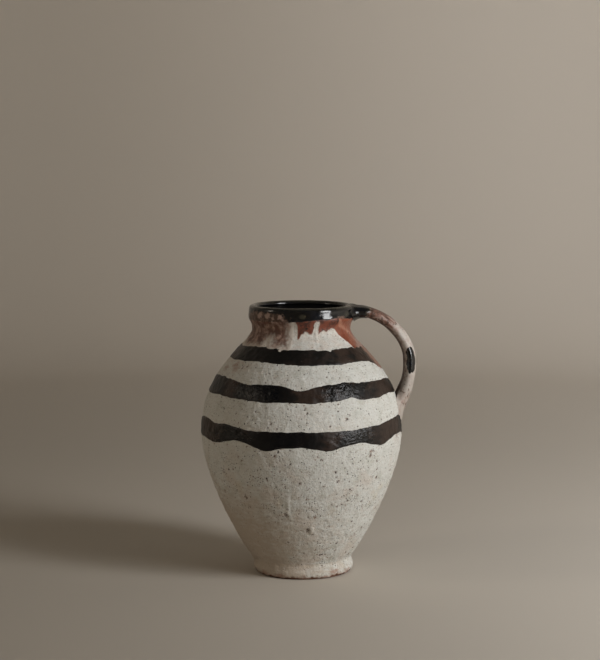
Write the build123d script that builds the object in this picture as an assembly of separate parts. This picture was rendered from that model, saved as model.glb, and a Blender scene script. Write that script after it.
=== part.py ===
# Hydria jar: thrown sections luted together, one pulled handle, coats of slip and glaze.
# Millimetres, +Z up. The origin is on the jar's axis at table level, and the handle is toward +X.
import os
from math import cos, exp, radians, sin

from build123d import *

os.makedirs("parts", exist_ok=True)

# Heights, each measured from the one before it, starting at the table
waist_height = 17.5
belly_rise = 140.8
neck_rise = 115.6
collar_rise = 13.6
rim_rise = 12.5

# Radii of the finished jar, and how far the foot and the collar stand out
waist_radius = 55.6
belly_radius = 112.3
neck_radius = 54.6
foot_flare = 2.3
collar_overhang = 4.5

# Pulls of the outline's curves: the longer the pull, the fuller the curve at that end
waist_slope = 44.0
waist_pull = 16.0
belly_pull_below = 49.4
belly_pull_above = 72.3
neck_pull_below = 16.2
neck_pull_above = 9.0
collar_pull_below = 4.3
collar_pull_above = 3.0
throat_pull = 8.0

# Lip
lip_thickness = 8.0
lip_setback = 0.6

# Foot ring
foot_bulge_height = 6.5
foot_waist_pull = 4.0
foot_bulge_pull = 4.0
foot_tuck = 1.9
foot_edge_pull = 2.0
ring_width = 15.0
recess_depth = 7.0
bare_foot_height = 2.5

# Clay wall and floor
wall = 7.0
floor_thickness = 11.0
floor_corner = 14.0

# Luted joints: a V tongue on the upper piece sits in a groove of the lower one
tongue_depth = 3.0
tongue_width = 3.0
neck_joint_drop = 12.0
collar_joint_rise = 7.0

# Coats
coat = 0.8
band_thickness = 0.8
wash_thickness = 0.4
patch_thickness = 0.5

# Strap handle: its line starts inside the collar and ends inside the shoulder
root_bury = 7.1
root_lift = 1.4
root_slope = 26.8
root_pull = 33.0
widest_drop = 33.9
finger_gap = 33.0
widest_pull_above = 25.8
widest_pull_below = 8.0
strap_foot_drop = 97.1
strap_foot_bury = 10.4
strap_foot_slope = 56.1
strap_foot_pull = 41.9
strap_width = 25.0
strap_end_width = 31.0
strap_root_thickness = 11.7
strap_foot_thickness = 15.5

# Coils of clay pressed round the handle's two joints
coil_edge = 1.0
upper_coil_reach = 17.0
upper_coil_side = 5.0
upper_coil_flat = 1.2
lower_coil_reach = 34.0
lower_coil_side = 6.0
lower_coil_flat = 2.5

# Dark glaze on the handle
root_glaze_reach = 18.5
patch_drop = 34.2
patch_out = 1.1
patch_width = 10.4
patch_length = 28.0

# Brushed edges: how far each is below the neck, and for the lower band above or below the belly, then its
# bumps (angle, spread, rise): degrees from the front toward the handle, degrees, and millimetres.
upper_band_top = 17.0
upper_band_top_bumps = [(-48, 14, 2.2), (25, 5, -1.4), (150, 30, 2.0), (-130, 25, -1.5)]
upper_band_bottom = 33.0
upper_band_bottom_bumps = [(-45, 25, 1.5), (20, 15, -0.6), (88, 14, -13.0), (170, 25, 1.8)]
middle_band_top = 52.2
middle_band_top_bumps = [(-68, 18, 3.6), (-38, 10, -0.8), (-1, 7.5, -5.6), (30, 10, 1.6),
                         (92, 12, -4.0), (150, 20, 2.0), (-135, 25, -2.5)]
middle_band_bottom = 70.3
middle_band_bottom_bumps = [(-62, 12, 1.4), (-24, 7, -1.3), (2, 8, -1.1), (31, 6, 3.2),
                            (68, 10, 2.0), (120, 20, -2.0), (-150, 25, 2.0)]
lower_band_above_belly = 15.7
lower_band_top_bumps = [(-72, 14, 6.0), (-47, 9, 3.4), (75, 28, 7.0), (160, 30, -2.0), (-140, 20, 3.0)]
lower_band_below_belly = 2.8
lower_band_bottom_bumps = [(-58, 6, -1.5), (-38, 8.5, 5.6), (-20, 6.5, -3.6), (1, 6, 1.3),
                           (14, 7, -2.9), (32, 8, 3.4), (51, 7, -2.4), (72, 12, 5.0),
                           (105, 12, -3.0), (135, 14, 3.0), (165, 12, -3.0), (-165, 14, 3.5),
                           (-135, 12, -2.5), (-105, 14, 3.0)]
wash_bottom = 11.0
wash_bottom_bumps = [(-55, 30, -3.0), (-7, 6, 9.0), (17, 4, 8.0), (30, 7, 3.0), (60, 12, -3.0),
                     (120, 20, 4.0), (-160, 25, 3.0)]
glaze_line_rise = 10.6
glaze_line_bumps = [(-45, 18, -0.8), (-12, 12, 0.5), (36, 17, 3.2), (130, 25, -1.2), (-120, 25, -1.2)]

# Room that a cut along a brushed edge leaves round the coat
brush_margin = 6.0

# Sectors of a brushed edge and points in each, stations on a curve, sections of the handle and a coil, and
# the halvings that find a height on a curve
edge_sectors = 12
sector_points = 6
curve_stations = 10
strap_sections = 10
coil_sections = 4
halvings = 40

# Places that follow from the sizes above
belly_height = waist_height + belly_rise
neck_height = belly_height + neck_rise
collar_height = neck_height + collar_rise
rim_height = collar_height + rim_rise
lip_height = rim_height - lip_thickness / 2
foot_radius = waist_radius + foot_flare
bore_radius = foot_radius - ring_width
collar_radius = neck_radius + collar_overhang
lip_outer_radius = collar_radius - lip_setback
mouth_radius = lip_outer_radius - lip_thickness
floor_height = recess_depth + floor_thickness


def at(radius, height):
    """Point of the jar's half section, which lies in the XZ plane."""
    return Vector(radius, 0, height)


def slant(length, degrees):
    """Offset of a given length, at an angle above level."""
    return at(length * cos(radians(degrees)), length * sin(radians(degrees)))


def curve(start, start_pull, end_pull, end):
    """Cubic curve between two points, with a pull as an offset from each."""
    return Bezier(start, start + start_pull, end + end_pull, end)


def parallel(lines, depth, start=0.0):
    """Curve that runs a given depth inside a chain of upward lines, toward the axis."""
    places = [(lines[0], start)]
    for line in lines:
        for station in range(1, curve_stations + 1):
            places.append((line, start + (1 - start) * station / curve_stations))
        start = 0.0
    points = []
    for line, share in places:
        direction = line % share
        points.append(line @ share + at(-direction.Z, direction.X) * depth)
    return Spline(*points)


def share_at(line, height):
    """Share of an upward line at which it reaches a height, by halving."""
    low, high = 0.0, 1.0
    for _ in range(halvings):
        middle = (low + high) / 2
        if (line @ middle).Z < height:
            low = middle
        else:
            high = middle
    return low


def radius_at(line, height):
    return (line @ share_at(line, height)).X


def face_of(*edges):
    return make_face(edges)


# Outline of the finished jar, from the waist to the lip
waist = at(waist_radius, waist_height)
belly = at(belly_radius, belly_height)
throat = at(neck_radius, neck_height)
collar = at(collar_radius, collar_height)
lip_outside = at(lip_outer_radius, lip_height)
lower_line = curve(waist, slant(waist_pull, waist_slope), at(0, -belly_pull_below), belly)
upper_line = curve(belly, at(0, belly_pull_above), at(0, -neck_pull_below), throat)
neck_line = curve(throat, at(0, neck_pull_above), at(0, -collar_pull_below), collar)
collar_line = curve(collar, at(0, collar_pull_above), at(0, -collar_pull_above), lip_outside)
foot_bulge = at(foot_radius, foot_bulge_height)
foot_edge = at(foot_radius - foot_tuck, 0)
foot_bottom_line = curve(foot_edge, at(0, foot_edge_pull), at(0, -foot_bulge_pull), foot_bulge)
foot_top_line = curve(foot_bulge, at(0, foot_bulge_pull), at(0, -foot_waist_pull), waist)


def body_outline(depth, start=0.0):
    """Curve from the waist, or a share above it, by the belly to the neck, at a depth."""
    return parallel([lower_line, upper_line], depth, start)


def collar_outline(depth):
    """Edges from the neck up the collar and over the lip to the mouth, at a depth."""
    lip_radius = lip_thickness / 2 - depth
    middle = at(lip_outer_radius - lip_thickness / 2, lip_height)
    lip = ThreePointArc(middle + at(lip_radius, 0), middle + at(0, lip_radius), middle - at(lip_radius, 0))
    return [parallel([neck_line], depth), parallel([collar_line], depth), lip]


def inside_outline(depth):
    """Edges from the mouth down the inside to the middle of the floor. The clay is at depth 0."""
    mouth = at(mouth_radius + coat - depth, lip_height)
    side = body_outline(coat + wall + depth, share_at(lower_line, floor_height + floor_corner))
    gullet = curve(mouth, at(0, -throat_pull), at(0, throat_pull), side @ 1)
    floor_edge = at((side @ 0).X - floor_corner, floor_height + depth)
    corner_pull = floor_corner / 2
    corner = curve(side @ 0, (side % 0) * -corner_pull, at(corner_pull, 0), floor_edge)
    return [gullet, side, corner, Line(floor_edge, at(0, floor_height + depth))]


# Clay section of the whole pot above the foot ring, with the floor's boss that sits in the ring's bore
clay_seat = at(waist_radius - coat, waist_height)
seat_line = Line(clay_seat, body_outline(coat) @ 0)
clay_section = face_of(
    seat_line,
    body_outline(coat),
    *collar_outline(coat),
    *inside_outline(0),
    Polyline(at(0, floor_height), at(0, recess_depth), at(bore_radius, recess_depth),
             at(bore_radius, waist_height), clay_seat),
)


def joint(radius, height):
    """Points of a luted joint from the axis outward, with the tongue at the middle of the wall."""
    half = tongue_width / 2
    return [at(0, height), at(radius - half, height), at(radius, height - tongue_depth),
            at(radius + half, height), at(2 * belly_radius, height)]


def clay_piece(lower_joint, upper_joint):
    """Ring of the clay pot between two joints."""
    around = Polyline(*lower_joint, *reversed(upper_joint), close=True)
    return revolve(clay_section & face_of(around), Axis.Z)


mid_wall = coat + wall / 2
neck_joint_height = neck_height - neck_joint_drop
collar_joint_height = neck_height + collar_joint_rise
table_line = [at(0, 0), at(2 * belly_radius, 0)]
belly_joint = joint(belly_radius - mid_wall, belly_height)
neck_joint = joint(radius_at(parallel([upper_line], mid_wall), neck_joint_height), neck_joint_height)
collar_joint = joint(radius_at(parallel([neck_line], mid_wall), collar_joint_height), collar_joint_height)
top_line = [at(0, 2 * rim_height), at(2 * belly_radius, 2 * rim_height)]

lower_body = clay_piece(table_line, belly_joint)
shoulder = clay_piece(belly_joint, neck_joint)
neck = clay_piece(neck_joint, collar_joint)
rim_collar = clay_piece(collar_joint, top_line)

# Foot ring: bore round the floor's boss, seat under the body
foot_ring_bottom = parallel([foot_bottom_line], coat)
foot_ring = revolve(face_of(
    foot_ring_bottom,
    parallel([foot_top_line], coat),
    Polyline(clay_seat, at(bore_radius, waist_height), at(bore_radius, 0), foot_ring_bottom @ 0),
), Axis.Z)


def envelope(depth):
    """Solid inside the body's outline at a depth, filled to the axis."""
    edges = [body_outline(depth), *collar_outline(depth)]
    start, mouth = edges[0] @ 0, edges[-1] @ 1
    fill = Polyline(mouth, at(0, mouth.Z), at(0, start.Z), start)
    return revolve(face_of(*edges, fill), Axis.Z)


finished_jar = envelope(0)
clay_jar = envelope(coat)

# Strap handle
handle_root = at(collar_radius - root_bury, collar_height + root_lift)
widest_height = neck_height - widest_drop
strap_thickness = (strap_root_thickness + strap_foot_thickness) / 2
widest = at(radius_at(upper_line, widest_height) + finger_gap + strap_thickness / 2, widest_height)
strap_foot_height = neck_height - strap_foot_drop
handle_foot = at(radius_at(upper_line, strap_foot_height) - strap_foot_bury, strap_foot_height)
handle_line = Wire([
    curve(handle_root, slant(root_pull, root_slope), at(0, widest_pull_above), widest),
    curve(widest, at(0, -widest_pull_below), slant(strap_foot_pull, strap_foot_slope), handle_foot),
])


def strap_section(share, inset, side=0.0, flat=0.0):
    """Oval across the strap at a share of its line, drawn in by an inset and spread by a coil."""
    width = strap_width + (strap_end_width - strap_width) * (2 * share - 1) ** 2
    thickness = strap_root_thickness + (strap_foot_thickness - strap_root_thickness) * share
    across = Plane(origin=handle_line @ share, x_dir=(0, 1, 0), z_dir=handle_line % share)
    return across * Ellipse(width / 2 + side - inset, thickness / 2 + flat - inset)


def strap(inset):
    shares = [station / strap_sections for station in range(strap_sections + 1)]
    return loft([strap_section(share, inset) for share in shares])


def coil(end, reach, side, flat, inset):
    """Clay flare round one end of the strap, which thins to the coil's edge at its reach."""
    length = (reach - inset) / handle_line.length
    sections = []
    for station in range(coil_sections):
        away = station / (coil_sections - 1)
        spread = (1 - away) ** 2
        share = abs(end - length * away)
        sections.append(strap_section(share, inset, coil_edge + (side - coil_edge) * spread,
                                      coil_edge + (flat - coil_edge) * spread))
    return loft(sections)


def upper_coil(inset):
    return coil(0, upper_coil_reach, upper_coil_side, upper_coil_flat, inset)


def lower_coil(inset):
    return coil(1, lower_coil_reach, lower_coil_side, lower_coil_flat, inset)


handle = strap(coat) - clay_jar
upper_handle_coil = upper_coil(coat) - clay_jar - handle
lower_handle_coil = lower_coil(coat) - clay_jar - handle
dressed_handle = strap(0) + upper_coil(0) + lower_coil(0)
handle_coat = dressed_handle - finished_jar - handle - upper_handle_coil - lower_handle_coil
glaze_end = collar_radius + root_glaze_reach
handle_root_glaze = split(handle_coat, Plane(origin=(glaze_end, 0, 0), z_dir=(1, 0, 0)), keep=Keep.BOTTOM)
handle_slip = split(handle_coat, Plane(origin=(glaze_end, 0, 0), z_dir=(1, 0, 0)), keep=Keep.TOP)

# Dark oval patch on the front of the strap
patch_middle = at(widest.X + patch_out, neck_height - patch_drop)
patch_plane = Plane(origin=patch_middle, x_dir=(1, 0, 0), z_dir=(0, -1, 0))
patch_column = extrude(patch_plane * Ellipse(patch_width / 2, patch_length / 2), amount=strap_width)
handle_patch = (strap(-patch_thickness) - strap(0)) & patch_column


def brushed_height(height, bumps, angle):
    """Height of a brushed edge at an angle from the front: its base and a bell curve for each bump."""
    for centre, spread, rise in bumps:
        gap = (angle - centre + 180) % 360 - 180
        height += rise * exp(-(gap / spread) ** 2)
    return height


def brushed_arc(height, bumps, radius, sector):
    """Wavy line across one sector of the jar at one radius."""
    points = []
    for step in range(sector_points + 1):
        angle = 360 * (sector + step / sector_points) / edge_sectors
        turn = radians(angle)
        points.append((radius * sin(turn), -radius * cos(turn), brushed_height(height, bumps, angle)))
    return Spline(*points)


def beyond(height, bumps, inner_radius, outer_radius, way):
    """Sectors of everything above a brushed edge, or below it where the way is -1, between two radii."""
    sectors = []
    for sector in range(edge_sectors):
        inner = brushed_arc(height, bumps, inner_radius, sector)
        outer = brushed_arc(height, bumps, outer_radius, sector)
        sheet = Face.make_surface_from_curves(inner, outer)
        sectors.append(extrude(sheet, amount=neck_rise, dir=(0, 0, way)))
    return sectors


def skin(inner_edges, outer_edges):
    """Coat between two chains of edges that run the same way up the jar."""
    bottom = Line(inner_edges[0] @ 0, outer_edges[0] @ 0)
    top = Line(inner_edges[-1] @ 1, outer_edges[-1] @ 1)
    return revolve(face_of(*inner_edges, top, *outer_edges, bottom), Axis.Z)


def level(height):
    return Plane(origin=(0, 0, height), z_dir=(0, 0, 1))


def brushed_coat(thickness, top, bottom):
    """Coat that stands proud of the slip between two brushed edges and stops at the handle."""
    low = min(brushed_height(*bottom, angle) for angle in range(360)) - brush_margin
    high = max(brushed_height(*top, angle) for angle in range(360)) + brush_margin
    surface = [body_outline(0), parallel([neck_line], 0)]
    coated = skin(surface, [body_outline(-thickness), parallel([neck_line], -thickness)])
    coated = split(split(coated, level(low), keep=Keep.TOP), level(high), keep=Keep.BOTTOM)
    inner_radius = min(radius_at(upper_line, low), radius_at(upper_line, high)) - brush_margin
    outer_radius = coated.bounding_box().max.X + brush_margin
    below_edge = beyond(*bottom, inner_radius, outer_radius, -1)
    above_edge = beyond(*top, inner_radius, outer_radius, 1)
    return coated - below_edge - above_edge - dressed_handle


# White slip below the glaze line, dark glaze above it
glaze_edge = (neck_height + glaze_line_rise, glaze_line_bumps)
glaze_reach = (mouth_radius - brush_margin, collar_radius + brush_margin)
outer_coat = skin([seat_line, body_outline(coat), *collar_outline(coat)],
                  [body_outline(0), *collar_outline(0)])
outer_coat = outer_coat - handle - upper_handle_coil - lower_handle_coil
body_slip = outer_coat - beyond(*glaze_edge, *glaze_reach, 1)
rim_glaze = split(outer_coat, level(neck_height), keep=Keep.TOP) - beyond(*glaze_edge, *glaze_reach, -1)

# Slip on the side of the foot, which leaves the bottom edge bare
foot_slip = skin([parallel([foot_bottom_line], coat), parallel([foot_top_line], coat)],
                 [foot_bottom_line, foot_top_line])
foot_slip = split(foot_slip, level(bare_foot_height), keep=Keep.TOP)

# Dark glaze inside, from the lip to the floor
liner_glaze = revolve(face_of(
    *inside_outline(0),
    *inside_outline(coat),
    Line(inside_outline(0)[0] @ 0, inside_outline(coat)[0] @ 0),
    Line(inside_outline(0)[-1] @ 1, inside_outline(coat)[-1] @ 1),
), Axis.Z)

nodes = {
    "foot_ring": foot_ring,
    "lower_body": lower_body,
    "shoulder": shoulder,
    "neck": neck,
    "rim_collar": rim_collar,
    "handle": handle,
    "upper_handle_coil": upper_handle_coil,
    "lower_handle_coil": lower_handle_coil,
    "body_slip": body_slip,
    "foot_slip": foot_slip,
    "handle_slip": handle_slip,
    "handle_root_glaze": handle_root_glaze,
    "handle_patch": handle_patch,
    "rim_glaze": rim_glaze,
    "liner_glaze": liner_glaze,
    "neck_wash": brushed_coat(
        wash_thickness,
        glaze_edge,
        (neck_height - wash_bottom, wash_bottom_bumps),
    ),
    "upper_band": brushed_coat(
        band_thickness,
        (neck_height - upper_band_top, upper_band_top_bumps),
        (neck_height - upper_band_bottom, upper_band_bottom_bumps),
    ),
    "middle_band": brushed_coat(
        band_thickness,
        (neck_height - middle_band_top, middle_band_top_bumps),
        (neck_height - middle_band_bottom, middle_band_bottom_bumps),
    ),
    "lower_band": brushed_coat(
        band_thickness,
        (belly_height + lower_band_above_belly, lower_band_top_bumps),
        (belly_height - lower_band_below_belly, lower_band_bottom_bumps),
    ),
}
for name, piece in nodes.items():
    export_step(piece, f"parts/{name}.step")
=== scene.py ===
import bpy
import numpy as np
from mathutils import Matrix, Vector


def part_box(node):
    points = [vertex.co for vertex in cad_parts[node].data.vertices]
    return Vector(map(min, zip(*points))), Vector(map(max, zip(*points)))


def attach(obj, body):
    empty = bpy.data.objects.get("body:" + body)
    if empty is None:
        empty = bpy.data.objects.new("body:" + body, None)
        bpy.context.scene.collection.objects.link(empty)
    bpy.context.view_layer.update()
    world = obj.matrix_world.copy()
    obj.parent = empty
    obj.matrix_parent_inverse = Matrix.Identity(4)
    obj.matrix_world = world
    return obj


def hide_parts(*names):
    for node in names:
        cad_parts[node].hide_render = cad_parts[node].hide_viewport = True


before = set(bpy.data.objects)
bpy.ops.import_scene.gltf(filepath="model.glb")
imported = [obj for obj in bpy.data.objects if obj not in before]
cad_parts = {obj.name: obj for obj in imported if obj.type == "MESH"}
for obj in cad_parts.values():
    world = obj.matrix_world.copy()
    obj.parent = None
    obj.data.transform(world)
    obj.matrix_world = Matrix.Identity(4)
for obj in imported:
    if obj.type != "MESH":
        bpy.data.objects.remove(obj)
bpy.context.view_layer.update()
mm = 0.001                                   # shapes are worked out in millimetres, meshes are in metres
print("frame loaded:", len(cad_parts), "nodes")


def side(node, corner, axis):
    # One side of a CAD node's box, in millimetres
    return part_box(node)[corner][axis] / mm


# The jar's half section, as it is in the CAD model
jar = dict(
    waistRadius=55.6, waistSlope=44.0, waistPull=16.0,
    bellyPullBelow=49.4, bellyPullAbove=72.3,
    neckRadius=54.6, neckDrop=26.1, neckPullBelow=16.2, neckPullAbove=9.0,
    collarRadius=59.1, collarDrop=12.5, collarPullBelow=4.3, collarPullAbove=3.0,
    lipThickness=8.0, lipSetback=0.6,
    footBulgeHeight=6.5, footTuck=1.9, footPull=4.0, footEdgePull=2.0, ringWidth=15.0,
    wall=8.6, coat=0.8, throatPull=8.0, floorCorner=14.0, floorMiddle=1.5,
    waistRounding=(3.5, 8, 34),              # how far its crease is rounded, and between which heights
    waistHeight=side("body_slip", 0, 2), bellyHeight=side("lower_body", 1, 2),
    bellyRadius=side("body_slip", 1, 0), rimHeight=side("rim_glaze", 1, 2),
    footRadius=side("foot_slip", 1, 0), floorHeight=side("liner_glaze", 0, 2),
)
jar["neckHeight"] = jar["rimHeight"] - jar["neckDrop"]
jar["collarHeight"] = jar["rimHeight"] - jar["collarDrop"]


def point(radius, height):
    return np.array([radius, height])


def slant(length, degrees):
    return length * point(np.cos(np.radians(degrees)), np.sin(np.radians(degrees)))


def curve(start, startPull, endPull, end, count=300):
    # Cubic curve: the two ends and their pulled points, weighted by the Bernstein polynomials of t
    t = np.linspace(0, 1, count)[:, None]
    return ((1 - t) ** 3 * start + 3 * (1 - t) ** 2 * t * (start + startPull)
            + 3 * (1 - t) * t ** 2 * (end + endPull) + t ** 3 * end)


def steps(points):
    # Lengths from each point to the next
    return np.hypot(*np.diff(points, axis=0).T)


class Outline:
    # A half section as a dense chain of points, with the length along it and its outward direction
    def __init__(self, *runs):
        points = np.vstack(runs)
        self.points = points[np.r_[True, steps(points) > 1e-6]]
        self.along = np.r_[0, np.cumsum(steps(self.points))]
        slope = np.gradient(self.points, self.along, axis=0)
        slope /= np.hypot(*slope.T)[:, None]
        self.out = np.c_[slope[:, 1], -slope[:, 0]]

    def at(self, along):
        columns = (*self.points.T, *self.out.T)
        return [np.interp(along, self.along, column) for column in columns]

    def alongAt(self, height):
        top = np.argmax(self.points[:, 1]) + 1
        return np.interp(height, self.points[:top, 1], self.along[:top])

    def radiusAt(self, height):
        return np.interp(height, *self.points[:np.argmax(self.points[:, 1]) + 1, ::-1].T)


def softened(points, reach, start, end):
    # Rounds a crease: each point between two heights becomes the mean of its neighbours within a reach
    near = np.abs(points[:, None, 1] - points[None, :, 1]) < reach
    mean = (near[:, :, None] * points[None]).sum(1) / near.sum(1)[:, None]
    height = points[:, 1]
    ease = np.clip(np.minimum(height - start, end - height) / reach, 0, 1)[:, None]
    return points + (mean - points) * ease


waist = point(jar["waistRadius"], jar["waistHeight"])
belly = point(jar["bellyRadius"], jar["bellyHeight"])
throat = point(jar["neckRadius"], jar["neckHeight"])
collar = point(jar["collarRadius"], jar["collarHeight"])
lipRadius = jar["lipThickness"] / 2
lipOutside = point(jar["collarRadius"] - jar["lipSetback"], jar["rimHeight"] - lipRadius)
footBulge = point(jar["footRadius"], jar["footBulgeHeight"])
footEdge = point(jar["footRadius"] - jar["footTuck"], 0)
up = point(0, 1)
edgeRun = curve(footEdge, jar["footEdgePull"] * up, -jar["footPull"] * up, footBulge, 60)
footRun = curve(footBulge, jar["footPull"] * up, -jar["footPull"] * up, waist, 100)
lowerRun = curve(waist, slant(jar["waistPull"], jar["waistSlope"]), -jar["bellyPullBelow"] * up, belly)
upperRun = curve(belly, jar["bellyPullAbove"] * up, -jar["neckPullBelow"] * up, throat)
neckRun = curve(throat, jar["neckPullAbove"] * up, -jar["collarPullBelow"] * up, collar, 80)
collarRun = curve(collar, jar["collarPullAbove"] * up, -jar["collarPullAbove"] * up, lipOutside, 40)
lipTurn = np.linspace(0, np.pi, 60)[:, None]
lipMiddle = lipOutside - point(lipRadius, 0)
lipRun = lipMiddle + lipRadius * np.hstack([np.cos(lipTurn), np.sin(lipTurn)])
standRun = softened(np.vstack([edgeRun, footRun, lowerRun]), *jar["waistRounding"])
outside = Outline(standRun, upperRun, neckRun, collarRun, lipRun)

# Inside of the jar, from the mouth down to the middle of the floor
bodyLine = Outline(lowerRun, upperRun)
cavity = bodyLine.points - jar["wall"] * bodyLine.out
cavity = cavity[cavity[:, 1] > jar["floorHeight"] + jar["floorCorner"]][::-1]
mouth = lipMiddle - point(lipRadius, 0)
gullet = curve(mouth, -jar["throatPull"] * up, jar["throatPull"] * up, cavity[0], 80)
floorEdge = point(cavity[-1, 0] - jar["floorCorner"], jar["floorHeight"])
cornerPull = jar["floorCorner"] / 2
floorCurve = curve(cavity[-1], -cornerPull * up, cornerPull * point(1, 0), floorEdge, 60)
floorRun = np.linspace(floorEdge, point(jar["floorMiddle"], jar["floorHeight"]), 40)
inside = Outline(gullet, cavity, floorCurve, floorRun)
print("outline:", round(outside.along[-1]), "mm outside,", round(inside.along[-1]), "mm inside")


def lumps(place, size, seed=0):
    # Value noise from -1 to 1: hashed values at the corners of a cell, blended by a quintic step each way
    cell = place / np.asarray(size, float)
    base = np.floor(cell).astype(np.int64)
    share = cell - base
    share = share ** 3 * (share * (share * 6 - 15) + 10)
    total = 0.0
    for corner in range(8):
        step = np.array([corner & 1, corner >> 1 & 1, corner >> 2])
        weight = np.prod(np.where(step, share, 1 - share), axis=-1)
        x, y, z = np.moveaxis(base + step, -1, 0)
        key = x * 374761393 + y * 668265263 + z * 1440662683 + seed * 1013904223
        key = (key ^ (key >> 13)) * 1274126177
        total = total + weight * (((key ^ (key >> 16)) & 65535) / 32767.5 - 1)
    return total


def grain(place, size, octaves, seed=0):
    # Layers of value noise, each half the size and half the strength of the one before
    return sum(lumps(place, np.asarray(size, float) / 2 ** k, seed + k) / 2 ** k for k in range(octaves))


def smooth(low, high, value):
    # Smooth step from 0 at the low value to 1 at the high one, which may be the smaller
    t = np.clip((value - low) / (high - low), 0, 1)
    return t * t * (3 - 2 * t)


def bell(value, spread):
    # Bell round zero: e to the minus square of the value over its spread
    return np.exp(-(value / spread) ** 2)


def degreesFrom(turn, angle):
    # Turn from an angle, in degrees, either way round the jar
    return (np.degrees(turn) - angle + 180) % 360 - 180


def carried(turn, radius, height=0.0):
    # Places at a radius and a height, carried round by the turn from the front
    return np.stack([radius * np.sin(turn), -radius * np.cos(turn), height + 0 * turn * radius], -1)


def turned(outline, turn, along, lift=0.0):
    # Surface of revolution: the outline pushed out by the lift and carried round
    radius, height, outward, upward = outline.at(along)
    return carried(turn, radius + lift * outward, height + lift * upward)


def turns(columns):
    # Even turns once round the jar, from its back
    return np.linspace(-np.pi, np.pi, columns, endpoint=False)


def radiusOf(points):
    return np.hypot(points[..., 0], points[..., 1])


def brushedEdge(turn, height, bumps, tremble, seed):
    # Height of a brushed edge: a base, a bell for each (angle, spread, rise), and the brush's tremble
    edge = np.full_like(turn, height)
    for angle, spread, rise in bumps:
        edge += rise * bell(degreesFrom(turn, angle), spread)
    return edge + tremble * grain(carried(turn, jar["bellyRadius"]), 11, 3, seed)


def edgeThrough(turn, places):
    # Height of a drawn edge: straight between (angle, height) places, closed round the back
    angles, heights = np.array(places, float).T
    return np.interp(np.degrees(turn), angles, heights, period=360)


def lineDistance(turn, height, places, radius):
    # Distance to a line drawn through (angle, height) places, with the jar unrolled at a radius: the least of
    # the distances to its straight pieces
    line = np.array(places, float)
    line[:, 0] = radius * np.radians(line[:, 0])
    here = np.stack([radius * turn, height], -1)
    nearest = np.full(turn.shape, np.inf)
    for start, end in zip(line[:-1], line[1:]):
        way = end - start
        share = np.clip((here - start) @ way / (way @ way), 0, 1)
        nearest = np.minimum(nearest, np.linalg.norm(here - start - share[..., None] * way, axis=-1))
    return nearest


def edgeDistance(turn, height, places, radius):
    # Distance to an edge that closes round the back, positive above it
    (firstAngle, first), (lastAngle, last) = places[0], places[-1]
    closed = [(lastAngle - 360, last), *places, (firstAngle + 360, first)]
    nearest = lineDistance(turn, height, closed, radius)
    return np.where(height > edgeThrough(turn, places), nearest, -nearest)


def ovals(turn, height, places, radius):
    # How far inside the nearest of some ovals (angle, height, half width, half height): 1 in its middle, 0 at
    # its edge and less outside
    level = np.full(np.broadcast(turn, height).shape, -9.0)
    for angle, middle, wide, tall in places:
        gap = radius * np.radians(degreesFrom(turn, angle))
        level = np.maximum(level, 1 - np.hypot(gap / wide, (height - middle) / tall))
    return level


def inScene(name, data):
    # A new object of the scene
    made = bpy.data.objects.new(name, data)
    bpy.context.scene.collection.objects.link(made)
    return made


def addPiece(name, points, material, nodes, fields=None, loops=(True, True)):
    # Mesh of a grid of points: quads between neighbours, joined round where a side loops, and a fan of
    # triangles to a middle point over each end of a grid that loops only one way
    rows, columns = points.shape[:2]
    ids = np.arange(rows * columns).reshape(rows, columns)
    ring = np.concatenate([ids, ids[:1]]) if loops[0] else ids
    grid = np.concatenate([ring, ring[:, :1]], 1) if loops[1] else ring
    quads = np.stack([grid[:-1, :-1], grid[1:, :-1], grid[1:, 1:], grid[:-1, 1:]], -1).reshape(-1, 4)
    places = points.reshape(-1, 3)
    fans = np.zeros((0, 3), int)
    ends = [] if loops[1] else [0, columns - 1]
    for end in ends:
        middle = np.full(rows, len(places))
        first, second = (ring[1:, end], ring[:-1, end]) if end == 0 else (ring[:-1, end], ring[1:, end])
        fans = np.vstack([fans, np.stack([first, second, middle], -1)])
        places = np.vstack([places, points[:, end].mean(0)])
    mesh = bpy.data.meshes.new(name)
    mesh.vertices.add(len(places))
    mesh.vertices.foreach_set("co", (places * mm).astype(np.float32).ravel())
    corners = np.concatenate([quads.ravel(), fans.ravel()])
    starts = np.concatenate([np.arange(len(quads)) * 4, quads.size + np.arange(len(fans)) * 3])
    mesh.loops.add(len(corners))
    mesh.loops.foreach_set("vertex_index", corners.astype(np.int32))
    mesh.polygons.add(len(starts))
    mesh.polygons.foreach_set("loop_start", starts.astype(np.int32))
    mesh.polygons.foreach_set("use_smooth", np.ones(len(starts), bool))
    for field, values in (fields or {}).items():
        width = values.shape[2:] or (1,)
        flat = values.reshape(-1, *width)
        for end in ends:
            flat = np.vstack([flat, values[:, end].reshape(rows, *width).mean(0)])
        kind, key = ("FLOAT_VECTOR", "vector") if width[0] == 3 else ("FLOAT", "value")
        layer = mesh.attributes.new(field, kind, "POINT")
        layer.data.foreach_set(key, flat.astype(np.float32).ravel())
    mesh.update(calc_edges=True)
    mesh.validate()
    mesh.materials.append(material)
    piece = inScene(name, mesh)
    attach(piece, "root")
    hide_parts(*nodes)
    print(f"{name}: {2 * len(quads) + len(fans)} triangles")


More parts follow.
